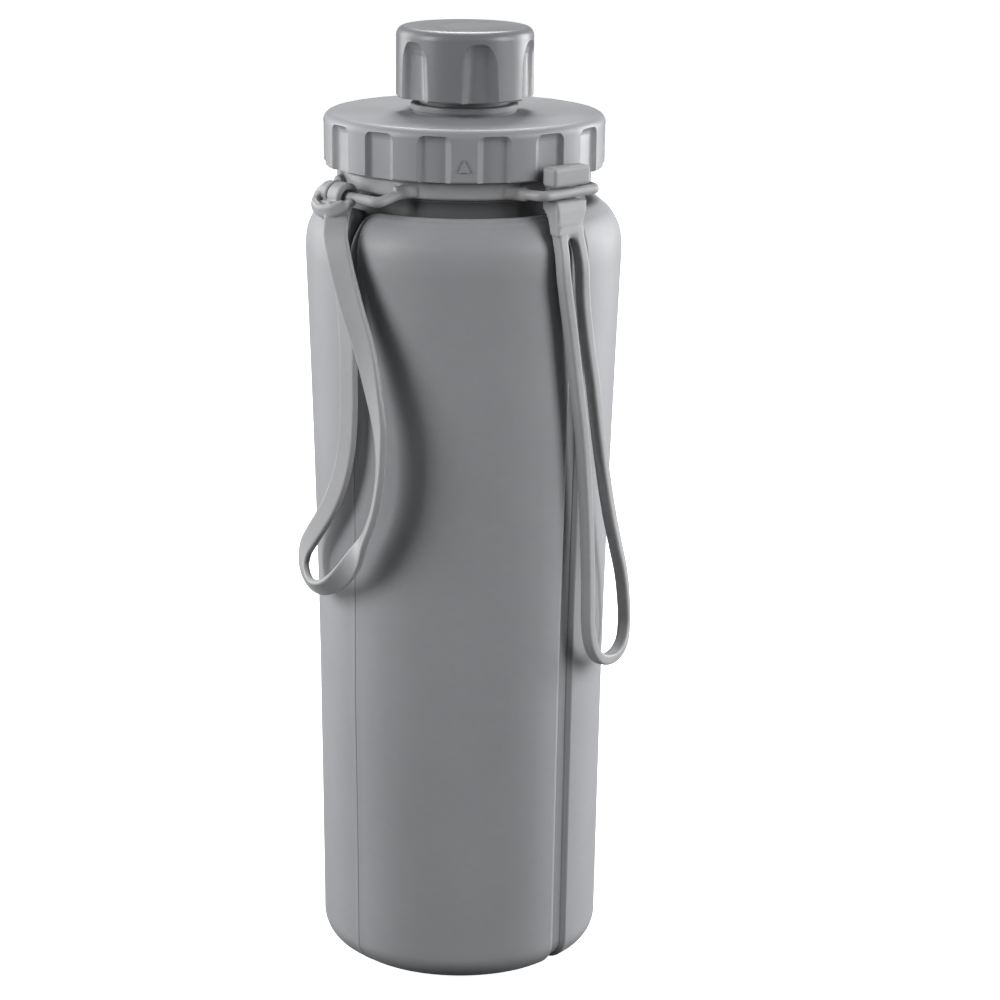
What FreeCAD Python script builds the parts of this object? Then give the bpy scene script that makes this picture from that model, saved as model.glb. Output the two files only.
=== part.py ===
import FreeCAD, Part
import math
import os

import Sketcher

# A soft bottle with a rigid neck, a screw lid, a spout with its own cap, a strap ring with
# two lugs, a toggle strap on the right lug and a hanging loop on the left one.
# Millimetres. It stands on z = 0 with its axis on +Z; the front is -Y and the right is +X.
# Directions round the axis are in degrees from the front, positive to the right.

os.makedirs("parts", exist_ok=True)
Vector = FreeCAD.Vector
ORIGIN = Vector(0, 0, 0)
X_AXIS, Y_AXIS, Z_AXIS = Vector(1, 0, 0), Vector(0, 1, 0), Vector(0, 0, 1)
doc = FreeCAD.newDocument("folding_bottle")

# ---------------------------------------------------------------- driving dimensions
# (alias, value); a text value is a formula over the rows above it, mostly a clearance.
SIZES = [
    # silicone body
    ("body_wall", 2.4),
    ("base_thickness", 3.2),
    ("base_flat_radius", 28.1),
    ("base_radius", 35.3),
    ("base_round_top", 7.2),
    ("low_radius", 35.7),
    ("mid_radius", 36.2),
    ("high_radius", 37.1),
    ("chest_radius", 38.15),
    ("shoulder_radius", 38.9),
    ("shoulder_height", 182.0),
    ("collar_radius", 30.6),
    ("collar_top", 197.8),
    ("collar_bore", 27.0),
    ("collar_bottom", 188.9),
    ("groove_width", 2.6),
    ("groove_depth", 1.5),
    ("fold_height", 98.0),
    ("fold_gap", 0.4),
    ("panel_top", 183.0),
    ("panel_gap", 0.4),
    # rigid neck
    ("neck_bore", 24.6),
    ("neck_tube_radius", 26.9),
    ("neck_bottom", 185.6),
    ("ring_seat_bottom", "=collar_top + 0.2"),
    ("ring_seat_radius", 28.8),
    ("neck_core_bottom", 203.0),
    ("neck_core_radius", 29.9),
    ("neck_top", 211.5),
    ("neck_wide_bore", 26.9),
    ("retainer_bore", "=neck_tube_radius + 0.05"),
    ("retainer_radius", 31.8),
    ("retainer_bottom", 186.3),
    ("retainer_top", "=collar_bottom - 0.1"),
    # lid
    ("lid_radius", 34.4),
    ("lid_bottom", 202.9),
    ("lid_top", 215.4),
    ("lid_plate_under", 213.2),
    ("lid_bore", 31.4),
    ("lid_hole", 11.05),
    ("lid_round", 2.2),
    ("lid_recess_floor", 33.1),
    ("lid_recess_top", 214.0),
    ("lid_thread_lead", 6.0),
    ("lid_thread_depth", 1.2),
    ("lid_gasket_bore", 25.6),
    ("lid_gasket_radius", "=lid_bore - 0.1"),
    ("lid_gasket_bottom", "=neck_top + 0.05"),
    ("lid_gasket_top", "=lid_plate_under - 0.05"),
    # spout
    ("spout_bore", 8.5),
    ("spout_radius", 11.0),
    ("spout_shank_radius", "=lid_hole - 0.1"),
    ("spout_bead_radius", 11.7),
    ("spout_bottom", 211.4),
    ("spout_bead_top", "=lid_plate_under - 0.2"),
    ("flange_bottom", 216.2),
    ("flange_top", 217.6),
    ("flange_radius", 13.2),
    ("spout_top", 231.5),
    ("spout_thread_lead", 5.0),
    ("spout_thread_depth", 1.0),
    ("spout_gasket_bore", 11.1),
    ("spout_gasket_radius", 12.7),
    # spout cap
    ("cap_radius", 16.7),
    ("cap_bottom", 219.1),
    ("cap_top", 236.0),
    ("cap_plate_under", 233.4),
    ("cap_bore", 12.3),
    ("cap_round", 2.2),
    ("cap_flute_floor", 15.0),
    ("cap_gasket_radius", "=cap_bore - 0.2"),
    ("cap_gasket_bottom", "=spout_top + 0.1"),
    ("cap_gasket_top", "=cap_plate_under - 0.1"),
    # strap ring and its two lugs
    ("ring_bore", "=ring_seat_radius + 0.15"),
    ("ring_radius", 31.1),
    ("ring_bottom", "=ring_seat_bottom + 0.3"),
    ("ring_top", 202.6),
    ("lug_reach", 36.6),
    ("lug_rod_radius", 1.25),
    ("lug_height", 199.8),
    ("lug_half_length", 10.3),
    ("right_lug_angle", 45.0),
    ("left_lug_angle", -48.0),
    # toggle strap
    ("toggle_angle", 40.5),
    ("toggle_inner", 39.5),
    ("toggle_thickness", 3.2),
    ("toggle_strand", 2.2),
    ("toggle_half_top", 3.4),
    ("toggle_half_low", 6.6),
    ("toggle_low", 82.0),
    ("toggle_split", 188.6),
    # hanging loop
    ("band_radius", 1.2),
]
sheet = doc.addObject("Spreadsheet::Sheet", "Sizes")
for row, (alias, value) in enumerate(SIZES, start=1):
    sheet.set("A%d" % row, alias)
    sheet.set("B%d" % row, str(value))
    sheet.setAlias("B%d" % row, alias)
doc.recompute()


def size(alias):
    return float(getattr(sheet, alias))


# ---------------------------------------------------------------- parametric turned bodies
# A profile coordinate is a text such as "neck_top - 0.6": aliases, numbers, spaced + and -.
def value_of(expr):
    """The number a coordinate text gives, for the sketch's first positions."""
    total, sign = 0.0, 1.0
    for word in expr.split():
        if word in "+-":
            sign = 1.0 if word == "+" else -1.0
        else:
            total += sign * (size(word) if word[0].isalpha() else float(word))
    return total


def sheet_expr(expr):
    """The same text as an expression over the spreadsheet."""
    return " ".join("Sizes." + word if word[0].isalpha() else word for word in expr.split())


def turned_body(name, points):
    """A PartDesign body turned about Z from a closed profile of (radius, height) texts."""
    body = doc.addObject("PartDesign::Body", name)
    sketch = body.newObject("Sketcher::SketchObject", name + "_profile")
    plane = next(o for o in body.Origin.OriginFeatures if o.Role == "XZ_Plane")
    sketch.AttachmentSupport = [(plane, "")]
    sketch.MapMode = "FlatFace"

    corners = [Vector(value_of(radius), value_of(height), 0) for radius, height in points]
    count = len(corners)
    for i in range(count):
        sketch.addGeometry(Part.LineSegment(corners[i], corners[(i + 1) % count]), False)
    for i in range(count):
        sketch.addConstraint(Sketcher.Constraint("Coincident", i, 2, (i + 1) % count, 1))

    def bind(kind, i, distance, expr):
        constraint = Sketcher.Constraint(kind, -1, 1, i, 1, distance)
        index = sketch.addConstraint(constraint)
        sketch.setExpression("Constraints[%d]" % index, sheet_expr(expr))

    for i, (radius, height) in enumerate(points):
        if corners[i].x == 0:
            sketch.addConstraint(Sketcher.Constraint("PointOnObject", i, 1, -2))
        else:
            bind("DistanceX", i, corners[i].x, radius)
        bind("DistanceY", i, corners[i].y, height)
    doc.recompute()

    turn = body.newObject("PartDesign::Revolution", name + "_turn")
    turn.Profile = (sketch, [""])
    turn.ReferenceAxis = (sketch, ["V_Axis"])
    turn.Angle = 360
    body.Tip = turn
    doc.recompute()
    return body


def round_rims(body, rims):
    """One PartDesign fillet for each (rim radius, rim height, fillet radius)."""
    for number, (radius, height, fillet_radius) in enumerate(rims):
        names = [
            "Edge%d" % i
            for i, edge in enumerate(body.Shape.Edges, start=1)
            if isinstance(edge.Curve, Part.Circle)
            and abs(edge.Curve.Radius - radius) < 0.01
            and abs(edge.Curve.Center.z - height) < 0.01
        ]
        if not names:
            raise RuntimeError("no rim at %s %s on %s" % (radius, height, body.Name))
        tip = body.Tip
        fillet = body.newObject("PartDesign::Fillet", "%s_round_%d" % (body.Name, number))
        fillet.Base = (tip, names)
        fillet.Radius = fillet_radius
        body.Tip = fillet
        doc.recompute()


# ---------------------------------------------------------------- shape helpers
def feature(name, shape):
    obj = doc.addObject("Part::Feature", name)
    obj.Shape = shape
    obj.Placement = shape.Placement
    return obj


def fused(name, parts):
    fuse = doc.addObject("Part::MultiFuse", name)
    fuse.Shapes = parts
    return fuse


def at(angle_deg, out, along, height):
    """A point by direction, distance out from the axis, offset to the right and height."""
    a = math.radians(angle_deg)
    return Vector(
        out * math.sin(a) + along * math.cos(a),
        -out * math.cos(a) + along * math.sin(a),
        height,
    )


def feature_at(name, shape, angle_deg):
    """A feature whose local X is outward in this direction, Y along the wall and Z up."""
    a = math.radians(angle_deg)
    turn = FreeCAD.Placement(FreeCAD.Matrix(
        math.sin(a), math.cos(a), 0, 0,
        -math.cos(a), math.sin(a), 0, 0,
        0, 0, 1, 0,
        0, 0, 0, 1,
    ))
    feature(name, shape).Placement = turn.multiply(shape.Placement)


def lines(points):
    """Straight edges from each (x, y, z) point to the next."""
    return [Part.makeLine(Vector(*a), Vector(*b)) for a, b in zip(points, points[1:])]


def smooth_curve(points):
    curve = Part.BSplineCurve()
    curve.interpolate([Vector(*point) for point in points])
    return curve


def turned_solid(side, closing):
    """Turns a smooth side line about Z, closed by straight lines through `closing`.

    Both lists hold (radius, height).
    """
    chain = [side[-1]] + closing + [side[0]]
    edges = [smooth_curve([(r, 0, z) for r, z in side]).toShape()]
    edges += lines([(r, 0, z) for r, z in chain])
    return Part.Face(Part.Wire(edges)).revolve(ORIGIN, Z_AXIS, 360)


def prism(outline, start, end, direction):
    """A flat closed outline, pushed from start to end along a unit direction."""
    corners = [Vector(*point) for point in outline]
    face = Part.Face(Part.makePolygon(corners + corners[:1]))
    face.translate(direction * start)
    return face.extrude(direction * (end - start))


def rounded_box(length, width, height, corner, fillet_radius):
    box = Part.makeBox(length, width, height, corner)
    return box.makeFillet(fillet_radius, box.Edges)


def cut_around(shape, cutter, angles, least_volume):
    """Cuts copies of a cutter that points along +X, turned to each direction."""
    copies = []
    for angle in angles:
        turned = cutter.copy()
        turned.rotate(ORIGIN, Z_AXIS, angle - 90.0)
        copies.append(turned)
    result = shape.cut(Part.makeCompound(copies))
    if result.Volume > shape.Volume - least_volume:
        raise RuntimeError("the cutters took away too little")
    return result


# (root width, crest width) of the thread ridges
LID_RIDGE = (1.5, 0.9)
SPOUT_RIDGE = (1.2, 0.7)
RIDGE_SINK = 0.35  # how far a ridge's root goes into the wall that carries it


def thread_pair(root_radius, depth, widths, lead, start_height, turns):
    """Two opposite helical ridges; a positive depth stands outward, a negative one inward."""
    root_width, crest_width = widths
    sunk = root_radius - math.copysign(RIDGE_SINK, depth)
    crest = root_radius + depth
    half_root = root_width / 2 + RIDGE_SINK * (root_width - crest_width) / 2 / abs(depth)
    section = [
        Vector(sunk, 0, -half_root),
        Vector(crest, 0, -crest_width / 2),
        Vector(crest, 0, crest_width / 2),
        Vector(sunk, 0, half_root),
        Vector(sunk, 0, -half_root),
    ]
    ridges = []
    for phase in (0.0, 180.0):
        helix = Part.makeHelix(lead, lead * turns, root_radius)
        profile = Part.Wire(Part.makePolygon(section))
        ridge = Part.Wire(helix.Edges).makePipeShell([profile], True, True)
        ridge.rotate(ORIGIN, Z_AXIS, phase)
        ridge.translate(Vector(0, 0, start_height))
        ridges.append(ridge)
    return ridges


# ---------------------------------------------------------------- silicone body
GROOVE_ANGLES = (45, 135, 225, 315)
GROOVE_BOTTOM, GROOVE_TOP = 9.0, 190.0
# half-width of the front panel at the fold and at its top
PANEL_HALF_LOW, PANEL_HALF_HIGH = 23.9, 26.3


def body_shell():
    """The whole soft wall, with four upright grooves on its diagonals."""
    # (radius, height) up the outside, from the base round to the collar
    outer = [
        (size("base_radius"), size("base_round_top")),
        (size("base_radius") + 0.05, 13.65),
        (size("low_radius"), 48.75),
        (size("mid_radius"), size("fold_height") - 10.0),
        (size("high_radius"), 126.75),
        (size("chest_radius"), 160.9),
        (size("shoulder_radius"), size("shoulder_height")),
        (38.3, 187.4),
        (36.4, 191.1),
        (33.6, 194.0),
        (size("collar_radius"), 196.0),
    ]
    collar_top, base_round = size("collar_top"), size("base_round_top")
    flat = size("base_flat_radius")
    base_corner = [
        (
            flat + (size("base_radius") - flat) * math.sin(a),
            base_round * (1 - math.cos(a)),
        )
        for a in map(math.radians, (0, 15, 30, 45, 60, 75))
    ]
    solid = turned_solid(
        outer,
        [(size("collar_radius"), collar_top), (0, collar_top), (0, 0)] + base_corner,
    )

    wall, floor, bore = size("body_wall"), size("base_thickness"), size("collar_bore")
    under_collar = size("collar_bottom")
    cavity = turned_solid(
        [(r - wall, z) for r, z in outer[1:7]] + [(35.3, 186.2), (32.3, under_collar)],
        [
            (bore, under_collar),
            (bore, collar_top + 2),
            (0, collar_top + 2),
            (0, floor),
            (27.0, floor),
            (30.6, floor + 1.6),
            (32.6, floor + 5.0),
        ],
    )

    grooved = outer[:9]
    groove_floor = turned_solid(
        [(r - size("groove_depth"), z) for r, z in grooved],
        [(0, grooved[-1][1]), (0, base_round)],
    )
    groove_skin = solid.cut(groove_floor)
    shell = solid.cut(cavity)
    width = size("groove_width")
    for angle in GROOVE_ANGLES:
        corner = Vector(22, -width / 2, GROOVE_BOTTOM)
        slab = Part.makeBox(20, width, GROOVE_TOP - GROOVE_BOTTOM, corner)
        slab.rotate(ORIGIN, Z_AXIS, angle)
        shell = shell.cut(groove_skin.common(slab))
    return shell


def front_window(inset, top):
    """A straight block between the two front grooves, so the panel can move straight back."""
    low, high = size("fold_height"), size("panel_top")

    def half(z):
        slope = (PANEL_HALF_HIGH - PANEL_HALF_LOW) * (z - low) / (high - low)
        return PANEL_HALF_LOW + slope - inset

    outline = [
        (-half(0.0), 0, 0.0),
        (half(0.0), 0, 0.0),
        (half(top), 0, top),
        (-half(top), 0, top),
    ]
    return prism(outline, -60.0, 0.0, Y_AXIS)


def make_body():
    """One soft moulding, divided so that it can press flat and fold in half."""
    shell = body_shell()
    fold, half_gap = size("fold_height"), size("fold_gap") / 2
    low_block = Part.makeBox(120, 120, fold - half_gap + 10, Vector(-60, -60, -10))
    high_block = Part.makeBox(120, 120, 120, Vector(-60, -60, fold + half_gap))
    lower = shell.common(low_block)
    upper = shell.common(high_block)

    inset, top = size("panel_gap") / 2, size("panel_top")
    panel = upper.common(front_window(inset, top))
    upper_rest = upper.cut(front_window(-inset, top + size("panel_gap")))
    feature("body_lower", lower)
    feature("body_front_panel", panel)
    feature("body_upper", upper_rest)


# ---------------------------------------------------------------- rigid neck
def make_neck():
    """The threaded insert and the ring that holds it under the collar."""
    core = turned_body(
        "neck_core",
        [
            ("neck_bore", "neck_bottom"),
            ("neck_tube_radius - 0.6", "neck_bottom"),
            ("neck_tube_radius", "neck_bottom + 0.6"),
            ("neck_tube_radius", "ring_seat_bottom"),
            ("ring_seat_radius", "ring_seat_bottom"),
            ("ring_seat_radius", "neck_core_bottom"),
            ("neck_core_radius", "neck_core_bottom + 0.6"),
            ("neck_core_radius", "neck_top - 0.6"),
            ("neck_core_radius - 0.6", "neck_top"),
            ("neck_wide_bore + 0.5", "neck_top"),
            ("neck_wide_bore", "neck_top - 0.5"),
            ("neck_wide_bore", "ring_seat_bottom + 4.2"),
            ("neck_bore", "ring_seat_bottom + 1.2"),
        ],
    )
    ridges = thread_pair(
        root_radius=size("neck_core_radius"),
        depth=size("lid_thread_depth"),
        widths=LID_RIDGE,
        lead=size("lid_thread_lead"),
        start_height=205.2,
        turns=0.75,
    )
    threads = [feature("neck_thread_%d" % k, ridge) for k, ridge in enumerate(ridges)]
    fused("neck_insert", [core] + threads)
    turned_body(
        "neck_retaining_ring",
        [
            ("retainer_bore", "retainer_bottom"),
            ("retainer_radius - 0.5", "retainer_bottom"),
            ("retainer_radius", "retainer_bottom + 0.5"),
            ("retainer_radius", "retainer_top"),
            ("retainer_bore", "retainer_top"),
        ],
    )


# ---------------------------------------------------------------- lid
LID_RECESSES = 15
MARK_HALF_WIDTH, MARK_BOTTOM, MARK_TOP = 1.3, 205.6, 208.6


def recess_section(height, out):
    """The recess outline at one height: a floor, then sides that roll over into the land."""
    floor, rim = size("lid_recess_floor"), size("lid_radius")
    # (distance out, half-width) of one side
    side_line = [
        (floor, 2.2),
        (floor + 0.12, 2.85),
        (floor + 0.5, 3.4),
        (floor + 0.95, 3.95),
        (rim - 0.06, 4.7),
        (rim + 0.12, 5.6),
    ]
    edges = [
        smooth_curve([(x + out, side * y, height) for x, y in side_line]).toShape()
        for side in (1, -1)
    ]
    inner_x, inner_y = side_line[0][0] + out, side_line[0][1]
    outer_x, outer_y = side_line[-1][0] + out, side_line[-1][1]
    far = rim + 4.0
    edges += lines([(inner_x, -inner_y, height), (inner_x, inner_y, height)])
    edges += lines([
        (outer_x, outer_y, height),
        (far, outer_y, height),
        (far, -outer_y, height),
        (outer_x, -outer_y, height),
    ])
    return Part.Wire(Part.__sortEdges__(edges))


def make_lid():
    """The lid, with grip recesses, a raised triangle at the front and inner threads."""
    core = turned_body(
        "lid_core",
        [
            ("lid_hole", "lid_plate_under"),
            ("lid_bore", "lid_plate_under"),
            ("lid_bore", "lid_bottom + 0.5"),
            ("lid_bore + 0.5", "lid_bottom"),
            ("lid_radius - 0.4", "lid_bottom"),
            ("lid_radius", "lid_bottom + 0.4"),
            ("lid_radius", "lid_top"),
            ("lid_hole", "lid_top"),
        ],
    )
    rim = size("lid_radius")
    round_rims(core, [(rim, size("lid_top"), size("lid_round"))])

    crown = size("lid_recess_top")
    # (height, shift outward): straight below, then running out at the crown
    stations = [
        (size("lid_bottom") - 3.0, 0.0),
        (crown - 1.8, 0.0),
        (crown - 1.1, 0.15),
        (crown - 0.45, 0.6),
        (crown, 1.35),
    ]
    recess = Part.makeLoft([recess_section(*station) for station in stations], True, True)
    pitch = 360.0 / LID_RECESSES
    angles = [(k + 0.5) * pitch for k in range(LID_RECESSES)]
    shell = cut_around(core.Shape, recess, angles, least_volume=100)

    triangle = [
        (-MARK_HALF_WIDTH, 0, MARK_BOTTOM),
        (MARK_HALF_WIDTH, 0, MARK_BOTTOM),
        (0, 0, MARK_TOP),
    ]
    shell = shell.fuse(prism(triangle, rim - 0.5, rim + 0.3, Vector(0, -1, 0)))
    shell = shell.fuse(thread_pair(
        root_radius=size("lid_bore"),
        depth=-size("lid_thread_depth"),
        widths=LID_RIDGE,
        lead=size("lid_thread_lead"),
        start_height=206.7,
        turns=0.6,
    ))
    feature("lid_shell", shell)
    turned_body(
        "lid_gasket",
        [
            ("lid_gasket_bore", "lid_gasket_bottom"),
            ("lid_gasket_radius", "lid_gasket_bottom"),
            ("lid_gasket_radius", "lid_gasket_top"),
            ("lid_gasket_bore", "lid_gasket_top"),
        ],
    )


# ---------------------------------------------------------------- spout
def make_spout():
    """The spout, with a bead under the lid plate and a flange above, and its gasket."""
    core = turned_body(
        "spout_core",
        [
            ("spout_bore", "spout_bottom"),
            ("spout_bead_radius - 0.5", "spout_bottom"),
            ("spout_bead_radius", "spout_bottom + 0.5"),
            ("spout_bead_radius", "spout_bead_top - 0.2"),
            ("spout_shank_radius", "spout_bead_top"),
            ("spout_shank_radius", "flange_bottom"),
            ("flange_radius", "flange_bottom"),
            ("flange_radius", "flange_top"),
            ("spout_radius", "flange_top"),
            ("spout_radius", "spout_top"),
            ("spout_bore", "spout_top"),
        ],
    )
    round_rims(
        core,
        [
            (size("flange_radius"), size("flange_top"), 0.5),
            (size("spout_radius"), size("spout_top"), 0.9),
            (size("spout_bore"), size("spout_top"), 0.9),
        ],
    )
    ridges = thread_pair(
        root_radius=size("spout_radius"),
        depth=size("spout_thread_depth"),
        widths=SPOUT_RIDGE,
        lead=size("spout_thread_lead"),
        start_height=223.0,
        turns=0.8,
    )
    threads = [feature("spout_thread_%d" % k, ridge) for k, ridge in enumerate(ridges)]
    fused("spout", [core] + threads)
    turned_body(
        "spout_gasket",
        [
            ("spout_gasket_bore", "lid_top + 0.02"),
            ("spout_gasket_radius", "lid_top + 0.02"),
            ("spout_gasket_radius", "flange_bottom - 0.02"),
            ("spout_gasket_bore", "flange_bottom - 0.02"),
        ],
    )


# ---------------------------------------------------------------- spout cap
CAP_FLUTES = 6
FIRST_FLUTE_ANGLE = -48.0
# (offset as a share of the half-width, depth as a share of the full depth) of half a flute
FLUTE_DISH = [
    (0.0, 1.0), (0.35, 0.95), (0.6, 0.74), (0.8, 0.42),
    (1.0, 0.13), (1.2, -0.02), (1.5, -0.25),
]
# (height, half-width, share of the full depth) up the flute
FLUTE_STATIONS = [
    (size("cap_bottom") - 1.0, 4.35, 1.0),
    (223.5, 4.1, 1.0),
    (228.2, 3.85, 1.0),
    (229.8, 3.75, 0.97),
    (231.3, 3.75, 0.78),
    (232.3, 3.7, 0.48),
    (232.95, 3.7, 0.14),
    (233.35, 3.7, -0.08),
]


def flute_section(height, half_width, share):
    """The flute outline at one height: a dish that rolls over at its lips."""
    radius = size("cap_radius")
    full_depth = radius - size("cap_flute_floor")
    right = []
    for offset, depth in FLUTE_DISH:
        y = offset * half_width
        x = math.sqrt(radius ** 2 - y ** 2) - full_depth * (depth - (1.0 - share))
        right.append((x, y, height))
    left = [(x, -y, z) for x, y, z in reversed(right[1:])]
    far = radius + 5.0
    x_end, y_end = right[-1][:2]
    closing = lines([
        (x_end, y_end, height),
        (far, y_end, height),
        (far, -y_end, height),
        (x_end, -y_end, height),
    ])
    return Part.Wire([smooth_curve(left + right).toShape()] + closing)


def make_spout_cap():
    core = turned_body(
        "cap_core",
        [
            ("0", "cap_plate_under"),
            ("cap_bore", "cap_plate_under"),
            ("cap_bore", "cap_bottom + 0.5"),
            ("cap_bore + 0.5", "cap_bottom"),
            ("cap_radius - 0.4", "cap_bottom"),
            ("cap_radius", "cap_bottom + 0.4"),
            ("cap_radius", "cap_top"),
            ("0", "cap_top"),
        ],
    )
    round_rims(core, [(size("cap_radius"), size("cap_top"), size("cap_round"))])
    flute = Part.makeLoft([flute_section(*station) for station in FLUTE_STATIONS], True, True)
    angles = [FIRST_FLUTE_ANGLE + 360.0 / CAP_FLUTES * k for k in range(CAP_FLUTES)]
    cap = cut_around(core.Shape, flute, angles, least_volume=60)
    cap = cap.fuse(thread_pair(
        root_radius=size("cap_bore"),
        depth=-size("spout_thread_depth"),
        widths=SPOUT_RIDGE,
        lead=size("spout_thread_lead"),
        start_height=224.25,
        turns=0.8,
    ))
    feature("spout_cap", cap)
    turned_body(
        "spout_cap_gasket",
        [
            ("0", "cap_gasket_bottom"),
            ("cap_gasket_radius", "cap_gasket_bottom"),
            ("cap_gasket_radius", "cap_gasket_top"),
            ("0", "cap_gasket_top"),
        ],
    )


# ---------------------------------------------------------------- strap ring
LUG_BEND_RADIUS = 1.7
LUG_FOOT_ANGLE = 21.5  # from the lug's middle to each foot
LUG_FOOT_RADIUS = 30.0  # the feet end inside the ring's wall


def rounded_corner(before, corner, after):
    """Start, middle and end of the bend that rounds a corner of the rod's path."""
    back_way, on_way = (before - corner).normalize(), (after - corner).normalize()
    half_angle = math.acos(max(-1, min(1, back_way.dot(on_way)))) / 2
    setback = LUG_BEND_RADIUS / math.tan(half_angle)
    middle_way = (back_way + on_way).normalize()
    centre = corner + middle_way * (LUG_BEND_RADIUS / math.sin(half_angle))
    middle = centre + (corner - centre).normalize() * LUG_BEND_RADIUS
    return corner + back_way * setback, middle, corner + on_way * setback


def lug(name, angle):
    """A round rod that leaves the ring, runs along outside it and comes back."""
    reach, half, z = size("lug_reach"), size("lug_half_length"), size("lug_height")
    left_foot = at(angle - LUG_FOOT_ANGLE, LUG_FOOT_RADIUS, 0, z)
    right_foot = at(angle + LUG_FOOT_ANGLE, LUG_FOOT_RADIUS, 0, z)
    left_corner = at(angle, reach, -half, z)
    right_corner = at(angle, reach, half, z)
    left_bend = rounded_corner(left_foot, left_corner, right_corner)
    right_bend = rounded_corner(left_corner, right_corner, right_foot)
    path = Part.Wire([
        Part.makeLine(left_foot, left_bend[0]),
        Part.Arc(*left_bend).toShape(),
        Part.makeLine(left_bend[2], right_bend[0]),
        Part.Arc(*right_bend).toShape(),
        Part.makeLine(right_bend[2], right_foot),
    ])
    heading = (left_bend[0] - left_foot).normalize()
    circle = Part.Circle(left_foot, heading, size("lug_rod_radius"))
    return feature(name, path.makePipeShell([Part.Wire([circle.toShape()])], True, True))


def make_strap_ring():
    core = turned_body(
        "ring_core",
        [
            ("ring_bore", "ring_bottom"),
            ("ring_radius", "ring_bottom"),
            ("ring_radius", "ring_top"),
            ("ring_bore", "ring_top"),
        ],
    )
    rims = [(size("ring_radius"), size(rim), 0.9) for rim in ("ring_bottom", "ring_top")]
    round_rims(core, rims)
    right_lug = lug("right_lug", size("right_lug_angle"))
    left_lug = lug("left_lug", size("left_lug_angle"))
    fused("strap_ring", [core, right_lug, left_lug])


# ---------------------------------------------------------------- toggle strap
# One soft moulding: its T head stays on the lug, and its long loop bends just under the head.
TOGGLE_HEAD_HALF = 4.5
# (distance out, height) round the part of the head below the lug's rod
TOGGLE_HEAD_SIDE = [
    (33.6, 198.2), (38.7, 198.2), (40.9, 193.0), (42.3, 188.95), (39.55, 188.95),
    (39.0, 189.7), (37.3, 192.3), (34.4, 195.3), (33.6, 195.9),
]
# (half-width, height) of what is cut from each flank, to narrow the head downward
TOGGLE_HEAD_TRIM = [
    (TOGGLE_HEAD_HALF, 195.9), (3.4, 193.2), (3.4, 187.0), (8.0, 187.0), (8.0, 195.9),
]
# the line on which the loop bends: distance out, height, and the radius of the loop's top
BEND_OUT, BEND_HEIGHT, BEND_RADIUS = 41.4, 187.0, 1.65


def make_toggle_head():
    """A bar above the lug's rod, a throat inside the rod, and a tapering part below it."""
    bar = rounded_box(4.3, 11.8, 4.7, Vector(34.65, -5.9, 201.3), 0.8)
    throat = Part.makeBox(1.5, 6.4, 6.4, Vector(33.5, -3.2, 196.3))
    side_outline = [(x, 0, z) for x, z in TOGGLE_HEAD_SIDE]
    lower = prism(side_outline, -TOGGLE_HEAD_HALF, TOGGLE_HEAD_HALF, Y_AXIS)
    for side in (1, -1):
        trim_outline = [(0, side * y, z) for y, z in TOGGLE_HEAD_TRIM]
        lower = lower.cut(prism(trim_outline, 30.0, 50.0, X_AXIS))
    head = bar.fuse([throat, lower]).removeSplitter()
    feature_at("toggle_strap_head", head, size("toggle_angle"))


def loop_face(half_top, half_low, top, low):
    """Straight sides from one half-width at the top to another, then a round low end."""
    arc_height = low + half_low
    top_left, top_right = Vector(0, -half_top, top), Vector(0, half_top, top)
    low_left, low_right = Vector(0, -half_low, arc_height), Vector(0, half_low, arc_height)
    return Part.Face(Part.Wire([
        Part.makeLine(top_left, top_right),
        Part.makeLine(top_right, low_right),
        Part.Arc(low_right, Vector(0, 0, low), low_left).toShape(),
        Part.makeLine(low_left, top_left),
    ]))


def make_toggle_loop():
    top, low, strand = size("toggle_split"), size("toggle_low"), size("toggle_strand")
    half_top, half_low = size("toggle_half_top"), size("toggle_half_low")
    inner, thickness = size("toggle_inner"), size("toggle_thickness")
    plate = loop_face(half_top, half_low, top + 1.0, low).extrude(Vector(thickness, 0, 0))
    slot = loop_face(half_top - strand, half_low - strand, top - 2.0, low + strand)
    slot = slot.extrude(Vector(thickness + 2, 0, 0))
    slot.translate(Vector(-1, 0, 0))
    loop = plate.cut(slot)
    loop.translate(Vector(inner, 0, 0))

    # swing the low end to the right, then a little outward
    hang = Vector(inner + 1.0, 0, top)
    loop.rotate(hang, X_AXIS, 5.0)
    loop.rotate(hang, Y_AXIS, -1.6)
    loop.translate(Vector(0.3, 0, -0.35))

    # the top is round about the bend line
    below = Part.makeBox(30.0, 60.0, 150.0, Vector(BEND_OUT - 15.0, -30.0, BEND_HEIGHT - 150.0))
    bend = Part.makeCylinder(BEND_RADIUS, 60.0, Vector(BEND_OUT, -30.0, BEND_HEIGHT), Y_AXIS)
    loop = loop.common(below.fuse(bend))
    feature_at("toggle_strap_loop", loop, size("toggle_angle"))


# ---------------------------------------------------------------- hanging loop
# A soft band hitched round the left lug: the hitch stays on the lug, the band hangs from it.
ROD_CLEARANCE = 0.25
# (direction in degrees, distance out from the axis, height) along the middle of the band
BAND_PATH = [
    (-47.0, 41.8, 193.3), (-43.5, 43.2, 186.0), (-38.5, 43.8, 175.0),
    (-32.5, 44.2, 163.0), (-27.5, 44.4, 151.0), (-25.6, 44.4, 142.0),
    (-27.0, 44.2, 130.0), (-32.0, 44.0, 117.5), (-41.0, 43.6, 107.0),
    (-51.0, 43.2, 102.6), (-61.5, 42.6, 101.8), (-67.8, 42.0, 105.0),
    (-66.0, 41.2, 110.5), (-57.0, 40.6, 117.0), (-49.5, 40.4, 124.5),
    (-44.5, 40.3, 136.0), (-42.3, 40.3, 150.0), (-40.0, 40.3, 161.0),
    (-41.0, 40.3, 172.0), (-44.5, 40.3, 183.0), (-51.5, 40.5, 193.3),
]


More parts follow.
